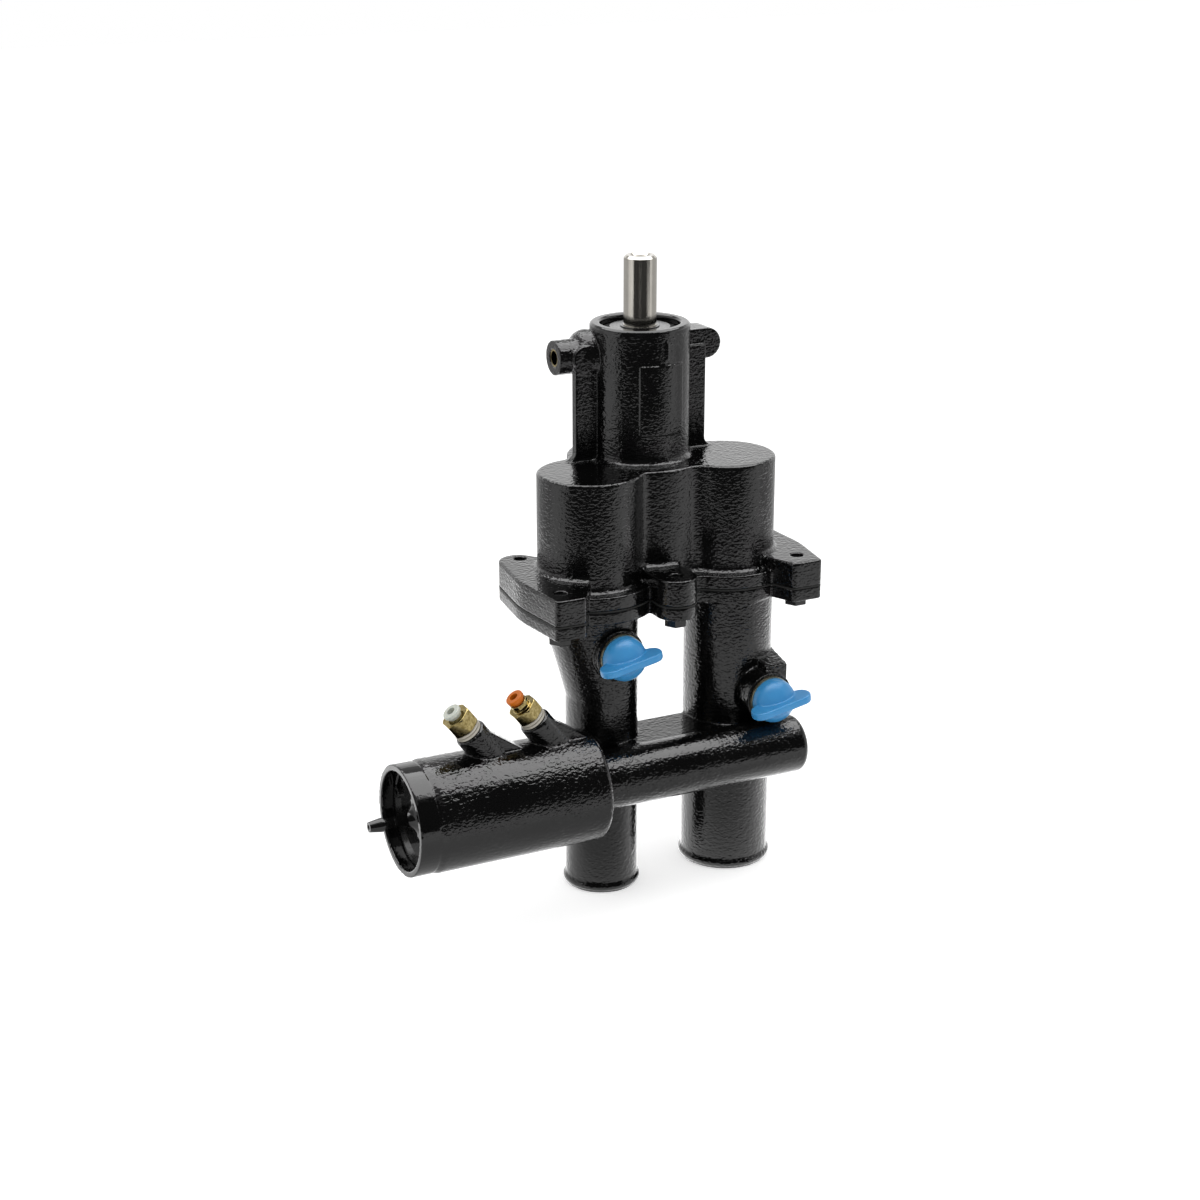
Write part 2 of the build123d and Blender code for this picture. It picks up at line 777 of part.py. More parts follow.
def impeller_insert():
    low, high = impeller_levels()
    return ring_z(insert_r, shaft_r, low, high)


def impeller_cam():
    """The crescent that squeezes the blades between outlet and inlet."""
    low = z_joint + wear_t
    high = z_joint + chamber_height
    start = cam_angle - cam_span / 2
    outer = CenterArc((0, 0), chamber_r, start, cam_span)
    reach = chamber_r - cam_t
    crown = (reach * cos(radians(cam_angle)), reach * sin(radians(cam_angle)))
    inner = ThreePointArc(outer @ 0, crown, outer @ 1)
    return Pos(0, 0, low) * extrude(make_face([outer, inner]), high - low)


def wear_plate():
    plate = ring_z(wear_r - 0.05, 2.0, z_joint, z_joint + wear_t)
    return plate


def flange_screws():
    """Flanged hex screws put in from below, through the lower flange into the upper one."""
    length_top = z_joint + ear_t - screw_tip_gap
    head_low = z_under - screw_collar_t - screw_head_h
    head = Pos(0, 0, head_low) * extrude(RegularPolygon(screw_head_af / 2, 6, major_radius=False),
                                         screw_head_h)
    head = chamfer(head.faces().sort_by(Axis.Z)[0].edges(), edge_round / 2)
    collar = rod_z(screw_collar_r, z_under - screw_collar_t, z_under)
    screw = head + collar + rod_z(screw_r, z_under - 1, length_top)
    return [Pos(x, y, 0) * screw for x, y in screw_places()]


def arm_bush():
    start = arm_end_x + bush_inset
    bush = rod_x(bush_r, start, start + bush_length, arm_y, arm_z)
    return bush - rod_x(bush_bore_r, start - 1, start + bush_length + 1, arm_y, arm_z)


def plug_solid():
    """Wing plug about Z, with the boss face at z = 0 and the wing along X."""
    thread = rod_z(plug_thread_r, -plug_thread_length, plug_ring_t)
    thread = chamfer(thread.faces().sort_by(Axis.Z)[0].edges(), 1.0)
    base = plug_ring_t
    skirt = 3.0
    outline = Polyline((0, base), (plug_head_r, base), (plug_head_r, base + skirt))
    dome_h = plug_dome - skirt - base
    dome = EllipticalCenterArc((0, base + skirt), plug_head_r, dome_h, start_angle=0, arc_size=90)
    close = Line((0, plug_dome), (0, base))
    head = revolve(Plane.XZ * make_face([outline, dome, close]), Axis.Z)
    corner = 5.6
    foot_corner = 1.6
    tip_x, tip_z = wing_half - corner, wing_tip - corner
    foot_x, foot_z = plug_head_r - foot_corner, wing_root + foot_corner
    half_leaf = [(foot_x, foot_z, foot_corner), (tip_x, tip_z, corner)]
    leaf = belt(half_leaf + [(-x, z, r) for x, z, r in reversed(half_leaf)])
    wing = extrude(Plane.XZ * leaf, wing_t / 2, both=True)
    wing = fillet(wing.faces().sort_by(Axis.Y)[0].edges() + wing.faces().sort_by(Axis.Y)[-1].edges(),
                  edge_round)
    return thread + head + wing


def plug_place(place):
    """Turns a plug's own axes so that its outward Z points along -Y."""
    x, face_y, z = place
    return Pos(x, face_y, z) * Rot(0, -plug_tilt, 0) * Rot(90, 0, 0)


def drain_plug(place):
    return plug_place(place) * plug_solid()


def plug_gasket(place):
    """Bronze-coloured sealing washer between the boss face and the plug's head."""
    washer = ring_z(plug_ring_r, plug_thread_r + plug_hole_clearance, 0, plug_ring_t)
    return plug_place(place) * washer


def seal_groove(outer, centre_x):
    """An annular groove cut for an O-ring of the common section."""
    floor = outer - seal_section * 0.8
    half = seal_section * 0.6
    return (rod_x(outer + 1, centre_x - half, centre_x + half, drain_y, drain_z)
            - rod_x(floor, centre_x - half - 1, centre_x + half + 1, drain_y, drain_z))


def seal_square(outer, bore, centre_x):
    """An O-ring squeezed square in its groove."""
    floor = outer - seal_section * 0.8
    half = seal_section * 0.5
    return (rod_x(bore, centre_x - half, centre_x + half, drain_y, drain_z)
            - rod_x(floor, centre_x - half - 1, centre_x + half + 1, drain_y, drain_z))


def end_cap():
    """Recessed cover of the drain cylinder: a low boss, a flared neck and a barbed hose nipple."""
    outer = cylinder_bore_r - cap_clearance
    disc = rod_x(outer, cap_face_x, cap_face_x + cap_t, drain_y, drain_z)
    disc -= seal_groove(outer, cap_face_x + cap_t / 2)
    tip = cap_face_x - nipple_tip_x
    barb = tip - barb_length
    stem = Polyline((cap_neck_r, cap_neck_h), (nipple_r, cap_taper_h), (nipple_r, barb), (barb_r, barb),
                    (barb_r, barb + 1), (barb_tip_r, tip), (0, tip), (0, -1), (cap_boss_r, -1),
                    (cap_boss_r, cap_boss_h))
    middle = (cap_neck_r + quarter_middle * (cap_boss_r - cap_neck_r),
              cap_boss_h + quarter_middle * (cap_neck_h - cap_boss_h))
    flare = ThreePointArc((cap_boss_r, cap_boss_h), middle, (cap_neck_r, cap_neck_h))
    nose = revolve(Plane.XZ * make_face([stem, flare]), Axis.Z)
    cap = disc + Pos(cap_face_x, drain_y, drain_z) * Rot(0, -90, 0) * nose
    cap -= rod_x(nipple_bore_r, nipple_tip_x - 1, cap_face_x + cap_t + 1, drain_y, drain_z)
    return cap


def end_cap_seal():
    outer = cylinder_bore_r - cap_clearance
    return seal_square(outer, cylinder_bore_r, cap_face_x + cap_t / 2)


def cap_snap_ring():
    """Spring ring in the groove in front of the cap, open on one side, with two eyed lugs."""
    outer = cylinder_bore_r + snap_depth
    ring = Circle(outer) - Circle(cylinder_bore_r - snap_width)
    half = radians(snap_gap / 2)
    wedge = make_face(Polyline((0, 0), (-2 * outer * sin(half), 2 * outer * cos(half)),
                               (2 * outer * sin(half), 2 * outer * cos(half)), close=True))
    ring -= wedge
    reach = cylinder_bore_r - snap_lug_inset
    for side in (-1, 1):
        ring += Pos(side * reach * sin(half), reach * cos(half)) * Circle(snap_lug_r)
    for side in (-1, 1):
        ring -= Pos(side * reach * sin(half), reach * cos(half)) * Circle(snap_lug_hole_r)
    ring = Rot(0, 0, -snap_turn) * ring
    return Pos(cap_face_x, drain_y, drain_z) * extrude(Plane.YZ * ring, -snap_t)


def drain_piston():
    outer = piston_r
    piston = rod_x(outer, piston_x0, piston_x0 + piston_t, drain_y, drain_z)
    dish = piston_t - piston_web
    piston -= (rod_x(outer - 4, piston_x0 + piston_web, piston_x0 + piston_t + 1, drain_y, drain_z)
               - rod_x(piston_hub_r, piston_x0, piston_x0 + piston_web + dish, drain_y, drain_z))
    piston -= rod_x(rod_r, piston_x0 - 1, piston_x0 + piston_t + 1, drain_y, drain_z)
    piston -= seal_groove(outer, piston_x0 + piston_web / 2)
    return piston


def piston_seal():
    outer = cylinder_bore_r - 0.02
    floor = piston_r - seal_section * 0.8
    half = seal_section * 0.5
    centre = piston_x0 + piston_web / 2
    return (rod_x(outer, centre - half, centre + half, drain_y, drain_z)
            - rod_x(floor, centre - half - 1, centre + half + 1, drain_y, drain_z))


def valve_rod():
    """Rod from the piston through the guide, with two lands that close the leg drains."""
    rod = rod_x(rod_r, piston_x0, leg_x, drain_y, drain_z)
    for centre in (-leg_x, leg_x):
        half = valve_land_length / 2
        land = rod_x(valve_bore_r - valve_clearance, centre - half, centre + half, drain_y, drain_z)
        rod += chamfer(land.edges().filter_by(GeomType.CIRCLE), 0.5)
    return rod


def rod_guide():
    """Flanged bronze guide that closes the valve bore at the cylinder's floor."""
    floor = cylinder_x1 - cylinder_floor
    guide = rod_x(guide_flange_r, floor - guide_flange_t, floor, drain_y, drain_z)
    guide += rod_x(valve_bore_r, floor - 1, floor + guide_length, drain_y, drain_z)
    return guide - rod_x(rod_r + rod_clearance, floor - guide_flange_t - 1,
                         floor + guide_length + 1, drain_y, drain_z)


def fitting_top(index):
    """Height of the brass body over the boss face: the inner fitting has a neck."""
    if index == 0:
        return hex_start + outer_hex_h
    return hex_start + inner_hex_h + inner_neck_h


def fitting_body(index):
    """Brass push-in body: threaded shank, hexagon and, on the inner one, a round neck."""
    top = fitting_top(index)
    hex_top = hex_start + (outer_hex_h if index == 0 else inner_hex_h)
    flats = RegularPolygon(hex_af / 2, 6, major_radius=False, rotation=hex_turn)
    nut = Pos(0, 0, hex_start) * extrude(flats, hex_top - hex_start)
    corner_r = hex_af / 2 / cos(radians(30))
    crown = turned([(0, hex_start), (corner_r - hex_round, hex_start), (corner_r, hex_start + hex_round),
                    (corner_r, hex_top - hex_round), (corner_r - hex_round, hex_top), (0, hex_top)])
    body = (nut & crown) + rod_z(port_thread_r, -port_thread_depth, hex_start + 1)
    if top > hex_top:
        body += rod_z(neck_r, hex_top - 1, top)
    body -= rod_z(fitting_bore_r, -port_thread_depth - 1, top + 1)
    body -= rod_z(socket_r, top - socket_depth, top + 1)
    return port_place(index) * body


def fitting_ring(index):
    """Ribbed sealing ring between the hexagon and the port's boss."""
    bore = port_thread_r + ring_clearance
    ring = ring_z(fitting_ring_r, bore, 0, hex_start)
    for share in (1 / 3, 2 / 3):
        level = hex_start * share
        half = fitting_ring_rib / 2
        ring -= ring_z(fitting_ring_r + 1, fitting_ring_r - fitting_ring_rib, level - half, level + half)
    return port_place(index) * ring


def fitting_collet(index):
    """Release collet: a round collar over a split-looking shank that holds the air tube."""
    top = fitting_top(index)
    head_low = top + collet_gap
    head = rod_z(collet_head_r, head_low, head_low + collet_head_h)
    head = fillet(head.edges().filter_by(GeomType.CIRCLE), 0.5)
    collet = head + rod_z(socket_r - collet_clearance, top - collet_shank, head_low + 0.6)
    collet -= rod_z(collet_bore_r, top - collet_shank - 1, head_low + collet_head_h + 1)
    return port_place(index) * collet


def fitting_seal(index):
    """Tube O-ring at the foot of the fitting's socket."""
    low = fitting_top(index) - socket_depth
    return port_place(index) * ring_z(socket_r, collet_bore_r, low, low + 2 * tube_seal_r)


parts = {
    "pump_body": pump_body(),
    "drain_housing": drain_housing(),
    "flange_gasket": flange_gasket(),
    "flange_screws": flange_screws(),
    "drive_shaft": drive_shaft(),
    "bearing_outer_ring": bearing_outer_ring(),
    "bearing_balls": bearing_balls(),
    "ball_cage": ball_cage(),
    "bearing_rollers": bearing_rollers(),
    "roller_cage": roller_cage(),
    "bearing_top_seal": bearing_top_seal(),
    "bearing_bottom_seal": bearing_bottom_seal(),
    "bearing_slinger": bearing_slinger(),
    "water_deflector": water_deflector(),
    "shaft_seal": shaft_seal(),
    "seal_ring": seal_ring(),
    "impeller": impeller(),
    "impeller_insert": impeller_insert(),
    "impeller_cam": impeller_cam(),
    "wear_plate": wear_plate(),
    "arm_bush": arm_bush(),
    "outlet_drain_plug": drain_plug(outlet_plug),
    "outlet_plug_washer": plug_gasket(outlet_plug),
    "inlet_drain_plug": drain_plug(inlet_plug),
    "inlet_plug_washer": plug_gasket(inlet_plug),
    "cylinder_end_cap": end_cap(),
    "end_cap_seal": end_cap_seal(),
    "cap_snap_ring": cap_snap_ring(),
    "drain_piston": drain_piston(),
    "piston_seal": piston_seal(),
    "valve_rod": valve_rod(),
    "rod_guide": rod_guide(),
    "outer_fitting_body": fitting_body(0),
    "outer_fitting_collet": fitting_collet(0),
    "outer_fitting_seal": fitting_seal(0),
    "outer_fitting_ring": fitting_ring(0),
    "inner_fitting_body": fitting_body(1),
    "inner_fitting_collet": fitting_collet(1),
    "inner_fitting_seal": fitting_seal(1),
    "inner_fitting_ring": fitting_ring(1),
}

for name, shape in parts.items():
    if isinstance(shape, list):
        shape = Compound(children=shape)
    shape.label = name
    export_step(shape, f"parts/{name}.step")
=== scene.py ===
"""Looks of the seawater pump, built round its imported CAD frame. Metres, +Z along the drive shaft."""

import json
import math

import bmesh
import bpy
from mathutils import Matrix, Vector

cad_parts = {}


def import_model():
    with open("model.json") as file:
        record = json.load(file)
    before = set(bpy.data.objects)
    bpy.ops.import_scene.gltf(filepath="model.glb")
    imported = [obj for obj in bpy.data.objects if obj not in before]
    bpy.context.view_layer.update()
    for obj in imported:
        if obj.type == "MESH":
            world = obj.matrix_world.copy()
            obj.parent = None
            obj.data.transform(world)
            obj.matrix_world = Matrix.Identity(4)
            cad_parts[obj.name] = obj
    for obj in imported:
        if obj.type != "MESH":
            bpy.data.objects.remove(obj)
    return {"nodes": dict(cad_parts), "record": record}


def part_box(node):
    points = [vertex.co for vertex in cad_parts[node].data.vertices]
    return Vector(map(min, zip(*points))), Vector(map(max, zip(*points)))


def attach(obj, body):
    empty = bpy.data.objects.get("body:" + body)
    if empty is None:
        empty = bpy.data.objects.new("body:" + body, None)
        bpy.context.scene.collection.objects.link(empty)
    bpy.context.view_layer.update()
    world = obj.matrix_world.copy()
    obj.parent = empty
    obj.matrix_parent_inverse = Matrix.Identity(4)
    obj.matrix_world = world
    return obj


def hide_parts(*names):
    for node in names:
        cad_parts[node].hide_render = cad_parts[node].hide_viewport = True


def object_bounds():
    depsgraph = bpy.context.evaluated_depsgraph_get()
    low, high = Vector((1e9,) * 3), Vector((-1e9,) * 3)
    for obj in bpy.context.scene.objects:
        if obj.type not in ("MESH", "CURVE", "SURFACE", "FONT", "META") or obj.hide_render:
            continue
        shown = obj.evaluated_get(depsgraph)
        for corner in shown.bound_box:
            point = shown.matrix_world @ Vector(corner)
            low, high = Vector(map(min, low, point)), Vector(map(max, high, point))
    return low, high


MM = 0.001

# Camera, fitted to the photograph
CAMERA_PLACE = Vector((-489.5, -935.1, 222.9)) * MM
CAMERA_TARGET = Vector((-35.5, -28.5, -126.2)) * MM
LENS = 67.48
SENSOR = 36.0

# Studio
FLOOR_SIZE = 9.0
FLOOR_TONE = 0.95
FLOOR_GLOW = 0.5                      # the floor's own white, for the camera and for reflections
AMBIENT = 0.8
SKY_SIDE = 1.0                        # radiance of the room in reflections, beside the object
SKY_BACK = 1.3                        # behind it
SKY_HIGH = 0.55                       # and above the backdrop
SKY_SPAN = (0.1, 0.7)                 # share of a direction that points back, where they meet
BACKDROP_TOP = 26.0                   # degrees above the horizon
BACKDROP_BLUR = 0.04
PANEL_TONE = 4.6                      # radiance of the panel overhead, seen only in reflections: a painted reflection of a lamp, which lights nothing
PANEL_HEIGHT = 1.15                   # above the target
PANEL_FROM, PANEL_TO = -0.42, 0.95    # front and back edges
PANEL_HALF = 0.95
# Dark sheets seen only in reflections: painted dark reflections, which cast no shade
DARK_REFLECTION_TONE = 0.05
DARK_REFLECTION_REACH = 1.45
DARK_REFLECTION_FROM, DARK_REFLECTION_TO = -48.0, 72.0      # degrees each side of the camera's direction
DARK_REFLECTION_TOP = 52.0                       # degrees above the horizon
TABLE_EDGE = 0.465                    # from the shaft to where the pale table ends, toward the camera
TABLE_HALF = 1.0                      # half its width
TABLE_NEAR, TABLE_FAR = 0.5, 1.05     # radiance of the table in reflections, near the legs and far out; the low value near the legs is painted shade
TABLE_OVERLAP = 0.1                   # how far the pale table runs on under the dark table end
TABLE_BEHIND, TABLE_BACK = 2.0, 0.65  # just behind the object and at the backdrop; the bright value just behind is a painted highlight
TABLE_FRONT_SPAN = (0.27, 0.39)       # from the shaft, where near goes over into far
TABLE_BACK_SPAN = (0.42, 0.62)
TABLE_TURN_SPAN = (-0.10, 0.0)        # away from the camera, where the front goes over into the back
TABLE_LIFT, DARK_END_LIFT = 0.3 * MM, 0.5 * MM

# Softboxes: to the right of the target, toward the camera, up, width, height, radiance
SOFTBOXES = {
    "overhead": (0.0, 0.30, 1.15, 1.1, 0.75, 1.1),
    "left_box": (-1.2, 0.55, 0.45, 0.7, 1.0, 0.5),
    "right_box": (1.3, 0.2, 0.5, 0.6, 1.0, 0.35),
}

# Castings
CAST_VOXEL = 0.5 * MM
CAST_SMOOTH_STEPS = 2
CAST_TRIANGLES = 190000
PEEL_SIZE = 1.9 * MM
PEEL_DEPTH = 0.38 * MM
PEEL_LEAST = 0.5                      # the ripple's strength where the paint has run smooth
PATCH_SIZE = 16.0 * PEEL_SIZE
BROAD_SIZE, BROAD_DEPTH = 7.0 * PEEL_SIZE, 0.16 * MM
PIT_SIZE, PIT_DEPTH = 0.3 * PEEL_SIZE, 0.04 * MM
TURNED_END = (-144.5 * MM, -142.5 * MM)  # the cylinder's mouth is turned, so its ripple ends here
TURNED_TOP = (3.0 * MM, 2.0 * MM)     # and so is the housing tube's, this far below its rim
TURNED_RIPPLE = 0.12

# Small mouldings and turned pieces
WELD = 0.002 * MM
PLUG_VOXEL, PLUG_SMOOTH_STEPS = 0.35 * MM, 3
BRASS_VOXEL, BRASS_SMOOTH_STEPS = 0.18 * MM, 2

# Fittings
PORT_LEAN = 37.0                      # degrees from upright
RING_RIBS = 2
RING_VALLEY = 1.2 * MM


def view_direction():
    """Horizontal unit vector from the object to the camera."""
    away = CAMERA_PLACE - CAMERA_TARGET
    away.z = 0.0
    return away.normalized()


def node_material(name):
    material = bpy.data.materials.new(name)
    material.use_nodes = True
    tree = material.node_tree
    shader = tree.nodes["Principled BSDF"]
    return material, tree, shader


def add_node(tree, kind, **inputs):
    node = tree.nodes.new(kind)
    for key, value in inputs.items():
        node.inputs[key].default_value = value
    return node


def object_coordinates(tree, stretch=(1.0, 1.0, 1.0)):
    """Object coordinates, stretched so that a pattern can be longer one way."""
    place = tree.nodes.new("ShaderNodeTexCoord")
    mapping = tree.nodes.new("ShaderNodeMapping")
    mapping.inputs["Scale"].default_value = stretch
    tree.links.new(place.outputs["Object"], mapping.inputs["Vector"])
    return mapping.outputs["Vector"]


def noise(tree, vector, scale, detail=2.0, rough=0.5, warp=0.0):
    node = add_node(tree, "ShaderNodeTexNoise", Scale=scale, Detail=detail, Roughness=rough, Distortion=warp)
    tree.links.new(vector, node.inputs["Vector"])
    return node.outputs["Fac"]


def bump(tree, height, distance, strength, below=None):
    node = add_node(tree, "ShaderNodeBump", Distance=distance, Strength=strength)
    tree.links.new(height, node.inputs["Height"])
    if below is not None:
        tree.links.new(below, node.inputs["Normal"])
    return node.outputs["Normal"]


def remap(tree, value, low, high, to_low, to_high):
    node = tree.nodes.new("ShaderNodeMapRange")
    for key, number in zip(("From Min", "From Max", "To Min", "To Max"), (low, high, to_low, to_high)):
        node.inputs[key].default_value = number
    tree.links.new(value, node.inputs["Value"])
    return node.outputs["Result"]


def reach_along(tree, axis, vector):
    """How far a vector reaches along an axis."""
    product = tree.nodes.new("ShaderNodeVectorMath")
    product.operation = "DOT_PRODUCT"
    tree.links.new(vector, product.inputs[0])
    product.inputs[1].default_value = axis
    return product.outputs["Value"]


def blend(tree, factor, first, second):
    node = tree.nodes.new("ShaderNodeMix")
    tree.links.new(factor, node.inputs[0])
    for socket, value in ((node.inputs[2], first), (node.inputs[3], second)):
        if isinstance(value, float):
            socket.default_value = value
        else:
            tree.links.new(value, socket)
    return node.outputs[0]


def two_tone(tree, value, first, second):
    node = tree.nodes.new("ShaderNodeMix")
    node.data_type = "RGBA"
    node.inputs[6].default_value = (*first, 1.0)
    node.inputs[7].default_value = (*second, 1.0)
    tree.links.new(value, node.inputs[0])
    return node.outputs[2]


def cast_paint(rim_height):
    """Gloss black paint that has taken the ripple of the sand casting under it."""
    material, tree, shader = node_material("cast_black_paint")
    across = object_coordinates(tree, (1.0, 1.0, 1.7))
    plain = object_coordinates(tree)
    peel = noise(tree, across, 1.0 / PEEL_SIZE, 1.0, 0.4, 0.5)
    broad = noise(tree, plain, 1.0 / BROAD_SIZE, 1.5, 0.5)
    pits = noise(tree, plain, 1.0 / PIT_SIZE, 2.0, 0.6)
    normal = bump(tree, broad, BROAD_DEPTH, 0.5)
    normal = bump(tree, peel, PEEL_DEPTH, 1.0, normal)
    patches = noise(tree, plain, 1.0 / PATCH_SIZE, 1.0, 0.5)
    strength = remap(tree, patches, 0.38, 0.58, PEEL_LEAST, 1.0)
    along = reach_along(tree, (1.0, 0.0, 0.0), plain)
    strength = blend(tree, remap(tree, along, *TURNED_END, 1.0, 0.0), strength, TURNED_RIPPLE)
    upward = reach_along(tree, (0.0, 0.0, 1.0), plain)
    rim = [rim_height - depth for depth in TURNED_TOP]
    strength = blend(tree, remap(tree, upward, *rim, 0.0, 1.0), strength, TURNED_RIPPLE)
    tree.links.new(strength, normal.node.inputs["Strength"])
    normal = bump(tree, pits, PIT_DEPTH, 0.5, normal)
    tree.links.new(normal, shader.inputs["Normal"])
    tone = two_tone(tree, broad, (0.0012, 0.0012, 0.0013), (0.003, 0.003, 0.003))
    tree.links.new(tone, shader.inputs["Base Color"])
    tree.links.new(remap(tree, peel, 0.3, 0.75, 0.02, 0.045), shader.inputs["Roughness"])
    shader.inputs["IOR"].default_value = 1.52
    return material


def metal(name, first, second, rough_low, rough_high, grain=(1.0, 1.0, 1.0), grain_scale=900.0, depth=0.012,
          stain_scale=160.0, stain_span=(0.0, 1.0)):
    """Machined metal with a fine directional grain."""
    material, tree, shader = node_material(name)
    vector = object_coordinates(tree, grain)
    lines = noise(tree, vector, grain_scale, 3.0, 0.6)
    stains = noise(tree, object_coordinates(tree), stain_scale, 3.0, 0.55)
    stains = remap(tree, stains, *stain_span, 0.0, 1.0)
    tree.links.new(two_tone(tree, stains, first, second), shader.inputs["Base Color"])
    tree.links.new(remap(tree, lines, 0.3, 0.7, rough_low, rough_high), shader.inputs["Roughness"])
    tree.links.new(bump(tree, lines, depth * MM, 0.6), shader.inputs["Normal"])
    shader.inputs["Metallic"].default_value = 1.0
    return material


def moulding(name, first, second, rough, grain_scale=1400.0, depth=0.02, ior=1.46, scatter=0.0):
    """Moulded plastic or rubber with a fine texture."""
    material, tree, shader = node_material(name)
    vector = object_coordinates(tree)
    grain = noise(tree, vector, grain_scale, 2.0, 0.5)
    cloud = noise(tree, vector, 120.0, 2.0, 0.5)
    tree.links.new(two_tone(tree, cloud, first, second), shader.inputs["Base Color"])
    tree.links.new(remap(tree, grain, 0.3, 0.7, rough * 0.85, rough * 1.15), shader.inputs["Roughness"])
    tree.links.new(bump(tree, grain, depth * MM, 0.7), shader.inputs["Normal"])
    shader.inputs["IOR"].default_value = ior
    shader.inputs["Subsurface Weight"].default_value = scatter
    shader.inputs["Subsurface Radius"].default_value = (0.6 * MM, 0.9 * MM, 1.4 * MM)
    return material


def make_materials(rim_height):
    upright_grain = (1.0, 1.0, 0.04)
    return {
        "cast_black": cast_paint(rim_height),
        "shaft_steel": metal("ground_shaft", (0.41, 0.39, 0.35), (0.49, 0.47, 0.43), 0.10, 0.2,
                             grain=upright_grain, grain_scale=2600.0, depth=0.006),
        "bearing_steel": metal("bearing_steel", (0.12, 0.12, 0.12), (0.18, 0.18, 0.18), 0.15, 0.3),
        "ring_white": moulding("ring_white", (0.42, 0.39, 0.33), (0.56, 0.53, 0.46), 0.4, 900.0, 0.05),
        # near-black steel, drawn dark all over
        "bearing_dark": metal("near_black_steel", (0.02, 0.02, 0.02), (0.04, 0.04, 0.04), 0.3, 0.5),
        "screw_black": moulding("painted_screws", (0.006, 0.006, 0.0065), (0.012, 0.012, 0.012), 0.2,
                                900.0, 0.04, 1.5),
        "seal_rubber": moulding("seal_rubber", (0.012, 0.012, 0.012), (0.02, 0.02, 0.02), 0.45,
                                1500.0, 0.02),
        "impeller_rubber": moulding("impeller_rubber", (0.02, 0.02, 0.021), (0.03, 0.03, 0.031), 0.55),
        "gasket_fibre": moulding("gasket_fibre", (0.008, 0.008, 0.008), (0.02, 0.02, 0.018), 0.7),
        "brass": metal("machined_brass", (0.22, 0.165, 0.055), (0.43, 0.35, 0.165), 0.03, 0.09,
                       stain_scale=800.0, stain_span=(0.35, 0.65)),
        "bronze": metal("machined_bronze", (0.50, 0.42, 0.28), (0.62, 0.54, 0.38), 0.25, 0.4),
        "seal_ceramic": moulding("seal_ceramic", (0.80, 0.78, 0.72), (0.86, 0.85, 0.80), 0.25),
        "plug_blue": moulding("plug_blue", (0.034, 0.255, 0.56), (0.050, 0.30, 0.62), 0.34,
                              1200.0, 0.03, 1.46, 0.15),
        "collet_orange": moulding("collet_orange", (0.50, 0.115, 0.004), (0.60, 0.155, 0.008), 0.35,
                                  900.0, 0.01, 1.32, 0.0),
        "collet_grey": moulding("collet_grey", (0.52, 0.54, 0.48), (0.60, 0.62, 0.55), 0.28,
                                900.0, 0.01, 1.5, 0.2),
        "cap_black": moulding("cap_black", (0.003, 0.003, 0.003), (0.006, 0.006, 0.006), 0.04,
                              120.0, 0.012, 1.52),
        "piston_nylon": moulding("piston_dark", (0.05, 0.05, 0.052), (0.07, 0.07, 0.072), 0.4),
    }


def dress_nodes(frame, materials):
    """Every CAD node gets the material of its record slot."""
    slots = {entry["node"]: entry["material_slot"] for entry in frame["record"]["subparts"]}
    for name, node in frame["nodes"].items():
        paint(node, materials[slots[name]])
        for polygon in node.data.polygons:
            polygon.material_index = 0


def paint(piece, material):
    piece.data.materials.clear()
    piece.data.materials.append(material)


def apply_modifiers(piece):
    graph = bpy.context.evaluated_depsgraph_get()
    mesh = bpy.data.meshes.new_from_object(piece.evaluated_get(graph))
    piece.modifiers.clear()
    piece.data = mesh
    return piece


def copy_of(node, name):
    piece = bpy.data.objects.new(name, node.data.copy())
    bpy.context.scene.collection.objects.link(piece)
    weld = bmesh.new()
    weld.from_mesh(piece.data)
    bmesh.ops.remove_doubles(weld, verts=weld.verts, dist=WELD)
    weld.to_mesh(piece.data)
    weld.free()
    return piece


def softened(node, name, voxel, steps, most=None):
    """A remeshed copy whose edges and roots are rounded as a mould leaves them."""
    piece = copy_of(node, name)
    remesh = piece.modifiers.new("remesh", "REMESH")
    remesh.mode = "VOXEL"
    remesh.voxel_size = voxel
    remesh.use_smooth_shade = True
    smooth = piece.modifiers.new("smooth", "SMOOTH")
    smooth.factor = 0.5
    smooth.iterations = steps
    apply_modifiers(piece)
    count = 2 * len(piece.data.polygons)
    if most and count > most:
        thin = piece.modifiers.new("thin", "DECIMATE")
        thin.ratio = most / count
        apply_modifiers(piece)
        piece.data.shade_smooth()
    return piece


def make_castings(frame, materials):
    for node_name, piece_name in (("pump_body", "upper_casting"), ("drain_housing", "lower_casting")):
        piece = softened(frame["nodes"][node_name], piece_name, CAST_VOXEL, CAST_SMOOTH_STEPS,
                         CAST_TRIANGLES)
        paint(piece, materials["cast_black"])
        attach(piece, "housing")
        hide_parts(node_name)


def make_plugs(frame, materials):
    """The wing plugs, with the soft edges and roots of a moulding."""
    for side in ("outlet", "inlet"):
        node_name = side + "_drain_plug"
        piece = softened(frame["nodes"][node_name], side + "_wing_plug", PLUG_VOXEL,
                         PLUG_SMOOTH_STEPS)
        paint(piece, materials["plug_blue"])
        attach(piece, side + "_plug")
        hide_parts(node_name)


